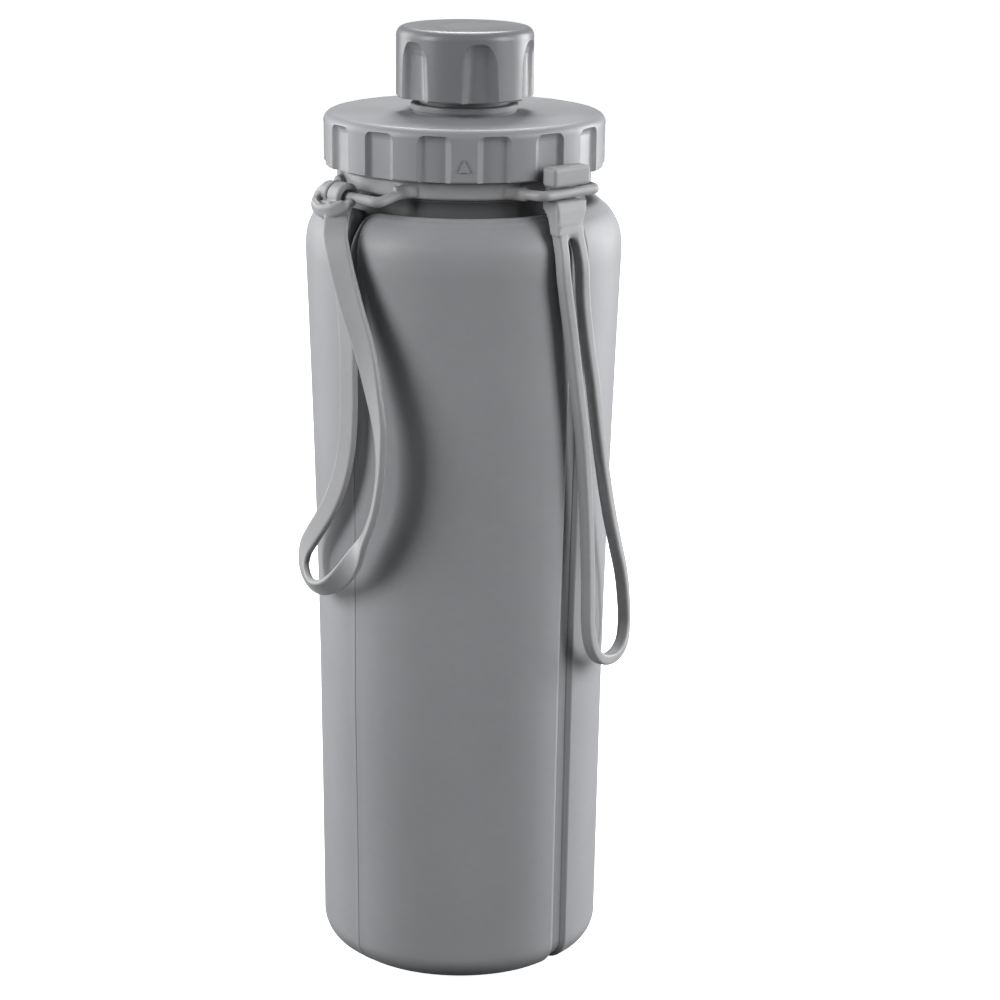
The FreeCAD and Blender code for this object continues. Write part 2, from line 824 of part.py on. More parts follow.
def make_hitch():
    """A knot round the lug's rod, with a smaller block outside and below it."""
    knot = rounded_box(5.0, 7.2, 5.5, Vector(34.65, -8.5, 197.0), 0.8)
    bight = rounded_box(3.3, 8.6, 4.6, Vector(37.7, -9.4, 194.4), 0.9)
    rod_hole = Part.makeCylinder(
        size("lug_rod_radius") + ROD_CLEARANCE,
        30,
        Vector(size("lug_reach"), -15, size("lug_height")),
        Y_AXIS,
    )
    hitch = knot.fuse(bight).cut(rod_hole)
    feature_at("hanging_loop_hitch", hitch, size("left_lug_angle"))


def make_band():
    points = [at(angle, out, 0, height) for angle, out, height in BAND_PATH]
    spine = smooth_curve(points)
    heading = spine.tangent(spine.FirstParameter)[0]
    section = Part.Wire([Part.Circle(points[0], heading, size("band_radius")).toShape()])
    band = Part.Wire([spine.toShape()]).makePipeShell([section], True, False)
    feature("hanging_loop_band", band)


# ---------------------------------------------------------------- build and export
NODES = [
    "body_upper",
    "body_front_panel",
    "body_lower",
    "neck_insert",
    "neck_retaining_ring",
    "strap_ring",
    "toggle_strap_head",
    "toggle_strap_loop",
    "hanging_loop_hitch",
    "hanging_loop_band",
    "lid_shell",
    "lid_gasket",
    "spout",
    "spout_gasket",
    "spout_cap",
    "spout_cap_gasket",
]

make_body()
make_neck()
make_lid()
make_spout()
make_spout_cap()
make_strap_ring()
make_toggle_head()
make_toggle_loop()
make_hitch()
make_band()
doc.recompute()

for obj in doc.Objects:
    if "Invalid" in obj.State or "Error" in obj.State:
        raise RuntimeError("%s is in state %s" % (obj.Name, obj.State))
for node in NODES:
    shape = doc.getObject(node).Shape
    if shape.isNull() or not shape.isValid():
        raise RuntimeError("%s has no sound shape" % node)
    if len(shape.Solids) != 1:
        raise RuntimeError("%s is not one solid" % node)
    shape.exportStep("parts/%s.step" % node)
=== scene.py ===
# A soft bottle that folds flat: silicone body with four grooves, lid with a capped spout, and a
# neck ring whose two lugs carry a toggle strap and a hanging loop.
# It stands on the floor along +Z with its axis at x = y = 0. The front faces -Y, right is +X,
# and the fold line runs across the back. Shapes are in millimetres; lights, floor and camera
# are in metres. An azimuth is in degrees from the front towards +X.
import math

import bmesh
import bpy
import numpy as np
from mathutils import Matrix, Vector


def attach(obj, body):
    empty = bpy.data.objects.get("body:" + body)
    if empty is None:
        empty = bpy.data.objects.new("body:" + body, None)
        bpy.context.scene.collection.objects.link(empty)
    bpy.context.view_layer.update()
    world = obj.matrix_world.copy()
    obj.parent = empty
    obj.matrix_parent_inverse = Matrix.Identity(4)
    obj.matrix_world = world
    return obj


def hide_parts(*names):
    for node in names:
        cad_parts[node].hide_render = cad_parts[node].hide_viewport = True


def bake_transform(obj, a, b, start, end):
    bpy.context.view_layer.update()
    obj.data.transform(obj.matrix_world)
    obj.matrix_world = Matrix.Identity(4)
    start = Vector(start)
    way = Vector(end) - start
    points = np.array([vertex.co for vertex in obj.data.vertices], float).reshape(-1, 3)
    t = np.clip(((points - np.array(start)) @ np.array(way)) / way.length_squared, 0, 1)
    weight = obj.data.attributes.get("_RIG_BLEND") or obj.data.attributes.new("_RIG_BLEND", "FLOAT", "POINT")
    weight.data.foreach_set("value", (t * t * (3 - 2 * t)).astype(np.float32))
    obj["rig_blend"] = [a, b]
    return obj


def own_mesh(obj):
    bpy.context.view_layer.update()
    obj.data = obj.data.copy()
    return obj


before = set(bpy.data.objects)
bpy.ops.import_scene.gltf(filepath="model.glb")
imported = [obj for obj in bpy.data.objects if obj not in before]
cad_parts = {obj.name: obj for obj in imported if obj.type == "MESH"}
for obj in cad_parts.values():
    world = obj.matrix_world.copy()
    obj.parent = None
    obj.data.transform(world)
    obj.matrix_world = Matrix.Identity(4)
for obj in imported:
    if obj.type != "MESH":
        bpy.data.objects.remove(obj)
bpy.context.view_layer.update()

MM = 0.001
scene = bpy.context.scene

# ------------------------------------------------------------ curves and places


def az_point(azimuth, out, along, z):
    """`out` from the axis at an azimuth, then `along` the tangent towards growing azimuth."""
    a = math.radians(azimuth)
    return np.array([
        out * math.sin(a) + along * math.cos(a),
        -out * math.cos(a) + along * math.sin(a),
        z,
    ])


def arc_length(points):
    """Running length along a polyline, starting at 0."""
    return np.r_[0, np.cumsum(np.linalg.norm(np.diff(points, axis=0), axis=1))]


def resample(values, stations, wanted):
    """Every column of `values`, known at `stations`, read at the wanted stations."""
    return np.stack([np.interp(wanted, stations, column) for column in values.T], 1)


def catmull(points, count):
    """A centripetal Catmull-Rom curve, at `count` even steps of arc or raw if count is None."""
    points = np.asarray(points, float)
    ends = 2 * points[0] - points[1], 2 * points[-1] - points[-2]
    extended = np.vstack([ends[0], points, ends[1]])

    def between(t, t_a, t_b, a, b):
        return (t_b - t) / (t_b - t_a) * a + (t - t_a) / (t_b - t_a) * b

    curve = []
    for i in range(1, len(extended) - 2):
        p0, p1, p2, p3 = extended[i - 1:i + 3]
        gaps = [max(np.linalg.norm(b - a), 1e-6) ** 0.5 for a, b in ((p0, p1), (p1, p2), (p2, p3))]
        t0, t1, t2, t3 = np.r_[0, np.cumsum(gaps)]
        for t in np.linspace(t1, t2, SPAN_STEPS, endpoint=False):
            a1 = between(t, t0, t1, p0, p1)
            a2 = between(t, t1, t2, p1, p2)
            a3 = between(t, t2, t3, p2, p3)
            b1 = between(t, t0, t2, a1, a2)
            b2 = between(t, t1, t3, a2, a3)
            curve.append(between(t, t1, t2, b1, b2))
    curve.append(extended[-2])
    curve = np.array(curve)
    if count is None:
        return curve
    length = arc_length(curve)
    return resample(curve, length, np.linspace(0, length[-1], count))


SPAN_STEPS = 24  # raw curve points per span


def smoothstep(start, end, x):
    t = np.clip((np.asarray(x, float) - start) / (end - start), 0, 1)
    return t * t * (3 - 2 * t)


# ------------------------------------------------------------ mesh helpers


def link_object(name, data):
    obj = bpy.data.objects.new(name, data)
    scene.collection.objects.link(obj)
    return obj


def shade_smooth(mesh):
    mesh.polygons.foreach_set("use_smooth", [True] * len(mesh.polygons))


def new_mesh(name, points, faces):
    mesh = bpy.data.meshes.new(name)
    mesh.from_pydata([tuple(p) for p in np.asarray(points, float) * MM], [], faces)
    mesh.validate()
    mesh.update()
    obj = link_object(name, mesh)
    shade_smooth(mesh)
    return obj


def mesh_points(mesh):
    """Vertex places in millimetres."""
    return np.array([v.co for v in mesh.vertices]).reshape(-1, 3) / MM


def quads(row, next_row, count):
    """The closed strip of faces between two rows of `count` points."""
    a, b = row * count, next_row * count
    return [(a + j, a + (j + 1) % count, b + (j + 1) % count, b + j) for j in range(count)]


def cap(row, count):
    """One face across a whole row."""
    return tuple(range(row * count, (row + 1) * count))


def apply_modifiers(obj):
    depsgraph = bpy.context.evaluated_depsgraph_get()
    done = bpy.data.meshes.new_from_object(obj.evaluated_get(depsgraph))
    obj.modifiers.clear()
    old = obj.data
    obj.data = done
    bpy.data.meshes.remove(old)
    return obj


def join(name, pieces):
    """One mesh from several, by plain vertex and face lists."""
    points, faces, start = [], [], 0
    for piece in pieces:
        places = mesh_points(piece.data)
        points.append(places)
        faces += [tuple(i + start for i in p.vertices) for p in piece.data.polygons]
        start += len(places)
        bpy.data.objects.remove(piece)
    return new_mesh(name, np.vstack(points), faces)


def outward(obj):
    """Makes every face point out of its closed shell."""
    bm = bmesh.new()
    bm.from_mesh(obj.data)
    bmesh.ops.recalc_face_normals(bm, faces=bm.faces)
    bm.to_mesh(obj.data)
    bm.free()
    obj.data.update()


def paint(obj, material):
    obj.data.materials.clear()
    obj.data.materials.append(material)


def fuse(name, pieces, material, voxel, relax_steps):
    """Overlapping closed pieces become one moulded skin: voxel remesh, then a light relax."""
    obj = join(name, pieces)
    skin = obj.modifiers.new("skin", "REMESH")
    skin.mode = "VOXEL"
    skin.voxel_size = voxel * MM
    skin.use_smooth_shade = True
    relax = obj.modifiers.new("relax", "SMOOTH")
    relax.factor = 0.5
    relax.iterations = relax_steps
    apply_modifiers(obj)
    shade_smooth(obj.data)
    outward(obj)
    paint(obj, material)
    return obj


def bevel_block(corners, faces, bevel):
    """A closed block with rounded edges."""
    obj = new_mesh("block", corners, faces)
    rounding = obj.modifiers.new("round", "BEVEL")
    rounding.width = bevel * MM
    rounding.segments = 3
    rounding.limit_method = "ANGLE"
    rounding.angle_limit = math.radians(15)
    return apply_modifiers(obj)


def prism_block(place, outline, low, high, bevel):
    """An (out, z) outline pushed along from low to high: numbers, or one value per point."""
    count = len(outline)
    corners = [
        place(out, along, z)
        for side in (low, high)
        for (out, z), along in zip(outline, np.broadcast_to(side, count))
    ]
    faces = [cap(0, count)[::-1], cap(1, count)] + quads(0, 1, count)
    return bevel_block(corners, faces, bevel)


def box_block(place, out, along, z, bevel):
    """A box between two values each of out, along and z."""
    plan = [(0, 0), (1, 0), (1, 1), (0, 1)]
    corners = [place(out[i], along[j], height) for height in z for i, j in plan]
    return bevel_block(corners, [(0, 3, 2, 1), (4, 5, 6, 7)] + quads(0, 1, 4), bevel)


def rounded_section(width, thick, radius):
    """A rounded rectangle as (width, thickness) pairs, counter-clockwise."""
    corner_steps = 4
    x, y = width / 2 - radius, thick / 2 - radius
    section = []
    for centre_x, centre_y, start in ((x, y, 0), (-x, y, 90), (-x, -y, 180), (x, -y, 270)):
        for k in range(corner_steps + 1):
            a = math.radians(start + 90 * k / corner_steps)
            section.append((centre_x + radius * math.cos(a), centre_y + radius * math.sin(a)))
    return section


def sweep(name, path, facing, sections):
    """Lofts sections (pairs along width, facing) along an open path."""
    tangent = np.gradient(path, axis=0)
    tangent /= np.linalg.norm(tangent, axis=1)[:, None]
    facing = facing - tangent * np.sum(facing * tangent, 1)[:, None]
    facing /= np.linalg.norm(facing, axis=1)[:, None]
    across = np.cross(tangent, facing)
    points = [
        path[i] + across[i] * width + facing[i] * thick
        for i in range(len(path))
        for width, thick in sections[i]
    ]
    count = len(sections[0])
    faces = []
    for i in range(len(path) - 1):
        faces += quads(i, i + 1, count)
    faces += [cap(0, count)[::-1], cap(len(path) - 1, count)]
    return new_mesh(name, points, faces)


def radial(path):
    """Directions straight away from the bottle's axis."""
    return path * np.array([1, 1, 0])


def tube(points, width, thick, radius, count, facing=None):
    """A rounded strip through the points, facing away from the axis unless told otherwise."""
    path = catmull(points, count)
    if facing is None:
        facing = radial(path)
    else:
        stations = np.linspace(0, 1, len(facing))
        facing = resample(np.asarray(facing, float), stations, np.linspace(0, 1, count))
    return sweep("tube", path, facing, [rounded_section(width, thick, radius)] * count)


# ------------------------------------------------------------ materials


def add_node(tree, kind, inputs=None, **settings):
    """A shader node; each input is given a value, or a socket to link from."""
    node = tree.nodes.new("ShaderNode" + kind)
    for key, value in settings.items():
        setattr(node, key, value)
    for key, value in (inputs or {}).items():
        if isinstance(value, bpy.types.NodeSocket):
            tree.links.new(value, node.inputs[key])
        else:
            node.inputs[key].default_value = value
    return node


def new_material(name):
    material = bpy.data.materials.new(name)
    material.use_nodes = True
    tree = material.node_tree
    tree.nodes.clear()
    output = add_node(tree, "OutputMaterial")
    bsdf = add_node(tree, "BsdfPrincipled")
    tree.links.new(bsdf.outputs[0], output.inputs["Surface"])
    return material, tree, bsdf, output


def moulded(name, colour, rough, *, grain, smudge, grain_scale=2600.0, sheen=0.0, recess_shade=0.0,
            shade=0.0):
    """A moulded polymer: slow tone drift, smudges in the roughness, fine grain in the bump.

    `recess_shade` paints shade into the colour by its attribute, and `shade` paints shade into close
    corners.
    """
    material, tree, bsdf, _ = new_material(name)
    place = add_node(tree, "TexCoord").outputs["Object"]

    def noise(scale, detail, roughness, distortion=0.0):
        return add_node(tree, "TexNoise", {
            "Vector": place, "Scale": scale, "Detail": detail,
            "Roughness": roughness, "Distortion": distortion,
        }).outputs["Fac"]

    def remap(value, from_min, from_max, to_min, to_max):
        return add_node(tree, "MapRange", {
            "Value": value, "From Min": from_min, "From Max": from_max,
            "To Min": to_min, "To Max": to_max,
        }).outputs[0]

    def times(first, second):
        return add_node(tree, "Math", {0: first, 1: second}, operation="MULTIPLY").outputs[0]

    def bump(height, strength, distance, **normal):
        inputs = {"Height": height, "Strength": strength, "Distance": distance, **normal}
        return add_node(tree, "Bump", inputs).outputs[0]

    drift = noise(scale=22.0, detail=3.0, roughness=0.5, distortion=0.4)
    speck = noise(scale=420.0, detail=2.0, roughness=0.6)
    fine = noise(scale=grain_scale, detail=2.0, roughness=0.65)
    smear = noise(scale=55.0, detail=4.0, roughness=0.6, distortion=1.2)

    tone = times(
        remap(drift, from_min=0.3, from_max=0.7, to_min=0.955, to_max=1.045),
        remap(speck, from_min=0.3, from_max=0.7, to_min=0.985, to_max=1.015),
    )
    # painted shade in the recesses and grooves, read from the mesh attribute
    if recess_shade:
        shade_mask = add_node(tree, "Attribute", attribute_name="recess_shade").outputs["Fac"]
        dark = remap(shade_mask, from_min=0.0, from_max=1.0, to_min=1.0, to_max=1.0 - recess_shade)
        tone = times(tone, dark)
    if shade:
        # painted shade: ambient occlusion darkens the colour in close corners
        corners = add_node(tree, "AmbientOcclusion", {"Distance": 0.009}, samples=6).outputs["AO"]
        soft = remap(corners, from_min=0.1, from_max=0.85, to_min=1.0 - shade, to_max=1.0)
        tone = times(tone, soft)
    base = add_node(tree, "VectorMath", {0: colour, "Scale": tone}, operation="SCALE")
    tree.links.new(base.outputs[0], bsdf.inputs["Base Color"])

    roughness = remap(smear, from_min=0.3, from_max=0.72, to_min=rough - smudge,
                      to_max=rough + smudge)
    tree.links.new(roughness, bsdf.inputs["Roughness"])
    bsdf.inputs["Specular IOR Level"].default_value = 0.45
    if sheen:
        bsdf.inputs["Sheen Weight"].default_value = sheen
        bsdf.inputs["Sheen Roughness"].default_value = 0.5

    grain_bump = bump(fine, strength=grain, distance=0.00006)
    wave_bump = bump(smear, strength=0.12, distance=0.0004, Normal=grain_bump)
    tree.links.new(wave_bump, bsdf.inputs["Normal"])
    return material


# painted shade: recesses and grooves darkened by the recess_shade attribute, close corners by shade
mat_body = moulded("body_silicone", (0.300, 0.308, 0.322), rough=0.50, grain=0.10, smudge=0.05,
                   sheen=0.10, recess_shade=0.72, shade=0.55)
mat_strap = moulded("strap_silicone", (0.330, 0.333, 0.340), rough=0.46, grain=0.08, smudge=0.06,
                    sheen=0.06)
mat_lid = moulded("lid_plastic", (0.285, 0.292, 0.306), rough=0.42, grain=0.14, smudge=0.05,
                  grain_scale=3200.0)
mat_cap = moulded("cap_plastic", (0.185, 0.190, 0.200), rough=0.36, grain=0.12, smudge=0.05,
                  grain_scale=3200.0)
mat_spout = moulded("spout_plastic", (0.175, 0.179, 0.188), rough=0.46, grain=0.08, smudge=0.04)
mat_neck = moulded("neck_plastic", (0.36, 0.365, 0.38), rough=0.38, grain=0.08, smudge=0.04)
mat_seal = moulded("seal_silicone", (0.115, 0.118, 0.124), rough=0.55, grain=0.06, smudge=0.05,
                   sheen=0.05)

# ------------------------------------------------------------ body: sizes and profile
FOLD_Y = 37.6  # the fold line's place at the back
FOLD_Z = 98.0
TRAVEL = 42.0  # how far the front panel moves when pressed flat
KEEP = 0.12  # share of the front-to-back depth left when flat
BEND_TOP, BEND_FOOT = 193.0, 126.0  # heights between which the upper half bends flat
WALL = 2.4
BASE_RADIUS = 35.3
BASE_EDGE = 7.2  # rounding between side and base

# (radius, z) up the side
SIDE = [
    (BASE_RADIUS, BASE_EDGE), (35.35, 13.65), (35.7, 48.75), (36.2, 88.0),
    (37.1, 126.75), (38.15, 160.9), (38.9, 182.0),
]
# (radius, z) over the shoulder to the collar; the first point only sets the starting slope
SHOULDER = [
    (38.75, 178.0), (38.9, 182.0), (38.3, 187.4), (36.4, 191.1),
    (33.6, 194.0), (31.6, 195.5), (30.6, 196.6), (30.5, 197.8),
]
# (radius, z) from the mouth down inside the neck and under the shoulder
NECK_INSIDE = [
    (29.2, 197.95), (28.4, 198.0), (27.4, 197.9), (27.0, 197.6), (27.0, 194.0), (27.0, 189.3),
    (27.4, 188.9), (31.0, 188.9), (33.2, 188.4), (34.9, 186.9), (36.0, 184.8),
]
# (radius, z) out over the inside of the base
BASE_INSIDE = [
    (1.0, 3.2), (6.0, 3.2), (14.0, 3.2), (22.0, 3.2),
    (27.0, 3.3), (30.0, 4.2), (32.0, 6.2), (32.9, 9.5),
]
# radii of the rows under the base, inwards; within BASE_HOLLOW the base rises a little
BASE_UNDER = (26.5, 25.0, 24.0, 23.2, 22.4, 21.5, 18.0, 14.0, 10.0, 6.0, 3.0, 1.0)
BASE_HOLLOW = 24

# grooves between the panels: (azimuth, half width of the floor, lip radius, depth)
LEFT_CREASE = -46.5
GROOVES = [
    (-135.0, 1.45, 1.5, 1.3),
    (LEFT_CREASE, 0.12, 0.85, 0.30),
    (46.0, 1.70, 1.35, 1.25),
    (135.0, 1.45, 1.5, 1.3),
]
GROOVES_ROUND = GROOVES + [(GROOVES[0][0] + 360.0,) + GROOVES[0][1:]]
DEPTH = 1.75  # depth of the recess above the panels
TOP_LIP = 2.1  # lip radius at the panels' top
PANEL_CORNER = 4.6  # radius of the panels' upper corners
CLEAR = 99.0  # a distance beyond every edge effect

# the left crease's lean in degrees by height
LEAN_Z = [0, 33, 72, 100, 134, 165, 184, 190, 194, 200]
LEAN = [0.0, 0.1, -0.4, 0.6, 2.0, 2.6, 2.5, 1.4, 0.7, 0.6]
# the recess depth by height over the shoulder
RECESS_Z = [189.0, 192.3, 195.4, 196.8, 198.5]
RECESS_DEPTH = [DEPTH, 2.35, 2.35, 1.4, 1.2]

side_curve = catmull(SIDE, None)


def side_radius(z):
    return float(np.interp(z, side_curve[:, 1], side_curve[:, 0]))


def side_profile(heights, inset=0.0):
    return [(side_radius(z) - inset, float(z)) for z in heights]


def columns():
    """Azimuths of the body's columns, fine across each groove and coarse between."""
    fine = np.concatenate([np.arange(row[0] - 6.0, row[0] + 6.01, 0.2) for row in GROOVES])
    coarse = [c for c in np.arange(-180.0, 180.0, 1.5) if np.min(np.abs(fine - c)) > 0.7]
    return np.sort(np.r_[fine, coarse])


AZ = columns()
COLUMNS = len(AZ)


def row_points(radius, heights, z):
    """A row at nominal height z; the left crease leans towards the front as it rises."""
    lean = np.interp(z, LEAN_Z, LEAN)
    a = np.radians(AZ + lean * np.exp(-(((AZ - LEFT_CREASE) / 14.0) ** 2)))
    return np.stack([radius * np.sin(a), -radius * np.cos(a), heights], 1)


def plain_row(radius, z):
    """An ungrooved row, as (points, cavity)."""
    return row_points(radius, np.full(COLUMNS, z), z), np.zeros(COLUMNS)


def panel_field(radius, to_top):
    """For every column: distance inside its panel's outline, lip radius and groove depth."""
    best = np.full(COLUMNS, -CLEAR)
    lips = np.full(COLUMNS, 1.4)
    depths = np.full(COLUMNS, DEPTH)
    near_top = float(smoothstep(15.0, 3.0, to_top))
    for start, end in zip(GROOVES_ROUND, GROOVES_ROUND[1:]):
        start_az, start_half, start_lip, start_depth = start
        end_az, end_half, end_lip, end_depth = end
        middle, half_span = (start_az + end_az) / 2, (end_az - start_az) / 2
        turn = (AZ - middle + 180.0) % 360.0 - 180.0
        from_start = (turn + half_span) * math.pi / 180 * radius - start_half
        from_end = (half_span - turn) * math.pi / 180 * radius - end_half
        side = np.minimum(from_start, from_end)
        lip = np.where(from_start < from_end, start_lip, end_lip)
        depth = np.where(from_start < from_end, start_depth, end_depth)
        lip = lip + (TOP_LIP - lip) * near_top
        depth = depth + (DEPTH - depth) * near_top
        inside = side
        if to_top < PANEL_CORNER:
            rounded = PANEL_CORNER - np.hypot(PANEL_CORNER - side, PANEL_CORNER - to_top)
            inside = np.where(side < PANEL_CORNER, rounded, to_top)
        take = inside > best
        best = np.where(take, inside, best)
        lips = np.where(take, lip, lips)
        depths = np.where(take, depth, depths)
    return best, lips, depths


def panel_row(radius, z, normal, to_top, fade=1.0, recess=DEPTH):
    """A grooved row pressed in along the profile's (radius, z) normal, as (points, cavity)."""
    lip_start = 0.12  # the lip begins this far outside the outline
    inside, lip, groove = panel_field(radius, to_top)
    groove = groove * recess / DEPTH
    across = np.clip((inside + lip_start) / (lip + lip_start), 0, 1)
    steep = 1 - np.sqrt(np.clip(1 - (1 - across) ** 2, 0, 1))
    gentle = 1 - np.sin(across * math.pi / 2) ** 2
    # the lip just right of the front right groove is gentler, except near the top
    soft = 0.75 * np.exp(-(((AZ - 51.0) / 4.0) ** 2)) * float(smoothstep(4.0, 16.0, to_top))
    depth = groove * (steep + (gentle - steep) * soft)
    # the panels are a little crowned
    panel = np.clip(inside, 0, CLEAR)
    depth = depth + 0.30 * np.exp(-panel / 4.5) * (1 - np.exp(-panel / 0.8))
    # a faint step line runs just inside the upper corners of the front panel
    line = 0.22 * np.exp(-(((inside - 2.1) / 0.32) ** 2)) * smoothstep(40.0, 12.0, to_top)
    depth = (depth + np.where(np.abs(AZ) < 44.0, line, 0.0)) * fade
    points = row_points(radius - depth * normal[0], z - depth * normal[1], z)
    # painted shade: the recess above the panels is fully dark, the grooves only partly
    above = float(smoothstep(3.0, -0.5, to_top))
    strength = 0.38 * groove / DEPTH * (1 - above) + above
    return points, np.clip(1 - inside / 0.5, 0, 1) * fade * strength


def profile_normals(profile):
    tangent = np.gradient(profile, axis=0)
    tangent /= np.linalg.norm(tangent, axis=1)[:, None]
    return np.stack([tangent[:, 1], -tangent[:, 0]], 1)


def body_mesh(name, points, recess_shade, faces):
    obj = new_mesh(name, points, faces)
    # painted shade of the recesses and grooves, which the body's material darkens by
    attribute = obj.data.attributes.new("recess_shade", "FLOAT", "POINT")
    attribute.data.foreach_set("value", np.asarray(recess_shade, np.float32))
    obj.data.set_sharp_from_angle(angle=math.radians(50))
    paint(obj, mat_body)
    outward(obj)
    return obj


# ------------------------------------------------------------ body: upper half


def upper_outside():
    """(radius, z) up from the fold and over the shoulder, without crowded points."""
    heights = np.r_[np.arange(FOLD_Z, 172.0, 3.0), np.arange(172.0, 182.0, 1.0)]
    shoulder = catmull(SHOULDER, None)[SPAN_STEPS:]
    profile = np.vstack([side_profile(heights), shoulder[::2]])
    kept = [0]
    for i in range(1, len(profile)):
        if np.linalg.norm(profile[i] - profile[kept[-1]]) > 0.30:
            kept.append(i)
    return profile[kept]


def knuckle_rows(outline, steps):
    """The soft closing of the fold: the flattened outline turned half round the fold line."""
    reach = KEEP * (FOLD_Y - outline[:, 1])
    rows = []
    for k in range(steps + 1):
        a = math.pi * k / steps
        drop = FOLD_Z - 0.02 - reach * math.sin(a)
        points = np.stack([outline[:, 0] * 0.975, -reach * math.cos(a), drop], 1)
        rows.append((points, np.zeros(COLUMNS)))
    return rows


def flat_weights(points, shell_points):
    """Share of TRAVEL that carries each point to its place in the flattened body."""
    y = points[:, 1]
    share = 1 - smoothstep(BEND_FOOT, BEND_TOP, points[:, 2])
    flat = FOLD_Y - KEEP * (FOLD_Y - y)
    target = y + share * (flat - y)
    limit = FOLD_Y - 0.25
    target = np.where(target > limit, limit - 0.02 * (target - limit), target)
    weights = (target - y) / TRAVEL
    weights[shell_points:] = FOLD_Y / TRAVEL
    return weights


def build_upper():
    outside = upper_outside()
    normals = profile_normals(outside)
    # the panels end where the shoulder has come in to a radius of about 32
    arc = arc_length(outside)
    top = arc[np.argmax((outside[:, 0] < 32.0) & (outside[:, 1] > 190))]
    rows = []
    for (radius, z), normal, length in zip(outside, normals, arc):
        recess = float(np.interp(z, RECESS_Z, RECESS_DEPTH))
        rows.append(panel_row(radius, z, normal, top - length, recess=recess))
    wall_z = np.r_[np.arange(183.0, FOLD_Z, -4.0), FOLD_Z]
    rows += [plain_row(radius, z) for radius, z in NECK_INSIDE + side_profile(wall_z, WALL)]
    shell = len(rows)
    faces = []
    for i in range(shell):
        faces += quads(i, (i + 1) % shell, COLUMNS)

    steps = 28
    rows += knuckle_rows(rows[0][0], steps)
    for i in range(shell, shell + steps):
        faces += quads(i, i + 1, COLUMNS)
    faces += [cap(shell, COLUMNS)[::-1], cap(shell + steps, COLUMNS)]

    points = np.vstack([row[0] for row in rows])
    obj = body_mesh("soft_body_upper", points, np.concatenate([row[1] for row in rows]), faces)
    return obj, flat_weights(points, shell * COLUMNS)


# ------------------------------------------------------------ body: lower half


def lower_outside():
    """(radius, z) down from the fold, round the base edge and in under the base."""
    centre = BASE_RADIUS - BASE_EDGE
    edge = [
        (centre + BASE_EDGE * math.cos(a), BASE_EDGE - BASE_EDGE * math.sin(a))
        for a in np.linspace(0, math.pi / 2, 24)
    ]
    under = [
        (r, 0.0 if r > BASE_HOLLOW else min(0.7, (BASE_HOLLOW - r) * 0.35)) for r in BASE_UNDER
    ]
    return np.array(side_profile(np.arange(FOLD_Z, 8.0, -3.0)) + edge + under)


def build_lower():
    outside = lower_outside()
    rows = []
    for (radius, z), normal in zip(outside, -profile_normals(outside)):
        # the grooves run out under the base
        fade = float(smoothstep(24.5, 29.5, radius)) if z < 3 else 1.0
        rows.append(panel_row(radius, z, normal, CLEAR, fade=fade))
    wall_z = np.r_[np.arange(14.0, FOLD_Z, 5.0), FOLD_Z]
    rows += [plain_row(radius, z) for radius, z in BASE_INSIDE + side_profile(wall_z, WALL)]
    last_outside = len(outside) - 1
    faces = []
    for i in range(len(rows)):
        if i != last_outside:
            strip = quads(i, (i + 1) % len(rows), COLUMNS)
            # each face starts one corner on
            faces += [face[1:] + face[:1] for face in strip]
    faces += [cap(last_outside, COLUMNS), cap(last_outside + 1, COLUMNS)[::-1]]
    points = np.vstack([row[0] for row in rows])
    return body_mesh("soft_body_lower", points, np.concatenate([row[1] for row in rows]), faces)


body_upper, upper_weights = build_upper()
body_lower = build_lower()

# ------------------------------------------------------------ toggle strap
TOGGLE_AZ = 40.0

# side outline of the head: (out, z, middle along, half width)
TOGGLE_HEAD = [
    (33.4, 198.3, 0.75, 4.75), (38.5, 198.3, 0.75, 4.75), (39.4, 196.1, 0.5, 4.5),
    (39.9, 193.3, -0.4, 3.9), (40.6, 191.4, -1.05, 4.0), (40.75, 190.7, -1.2, 4.1),
    (37.7, 190.7, -1.2, 4.1), (37.3, 191.3, -1.05, 4.0), (36.3, 192.9, -0.4, 3.9),
    (34.6, 195.3, 0.4, 4.4), (33.4, 196.4, 0.75, 4.75),
]
# side outline of the web between the strands above the slot: (out, z)
TOGGLE_WEB = [(40.3, 193.0), (40.65, 191.0), (37.8, 191.0), (36.8, 193.0)]
# (azimuth, z) down the left strand, round the bottom and up the right strand
STRANDS = [
    (35.0, 192.2), (34.9, 189.0), (34.8, 186.0), (34.9, 181.0), (36.2, 175.4), (37.6, 170.0),
    (38.8, 165.0), (40.3, 158.5), (42.1, 150.7), (44.2, 141.8), (46.8, 125.5), (48.4, 109.7),
    (48.9, 100.7), (49.3, 92.8), (51.2, 87.2), (55.4, 83.3), (61.0, 81.7),
    (66.8, 82.0), (72.2, 84.4), (75.0, 88.6), (72.8, 95.5), (69.6, 103.0), (65.5, 110.6),
    (61.0, 119.5), (57.0, 129.0), (53.1, 140.3), (49.1, 154.5), (47.0, 161.0), (45.0, 168.0),
    (43.3, 176.8), (42.8, 182.0), (42.6, 186.0), (42.5, 189.0), (42.4, 192.2),
]
STRAND_WIDTH, STRAND_THICK, STRAND_ROUND = 2.7, 3.1, 0.6
# the strands' distance from the axis by height, where they near the head
STRAND_TOP_Z = [183, 186, 188, 190, 191.5]
STRAND_TOP_OUT = [41.2, 40.6, 40.0, 39.35, 38.85]


def top_strand_radius(z):
    return float(np.interp(z, STRAND_TOP_Z, STRAND_TOP_OUT))


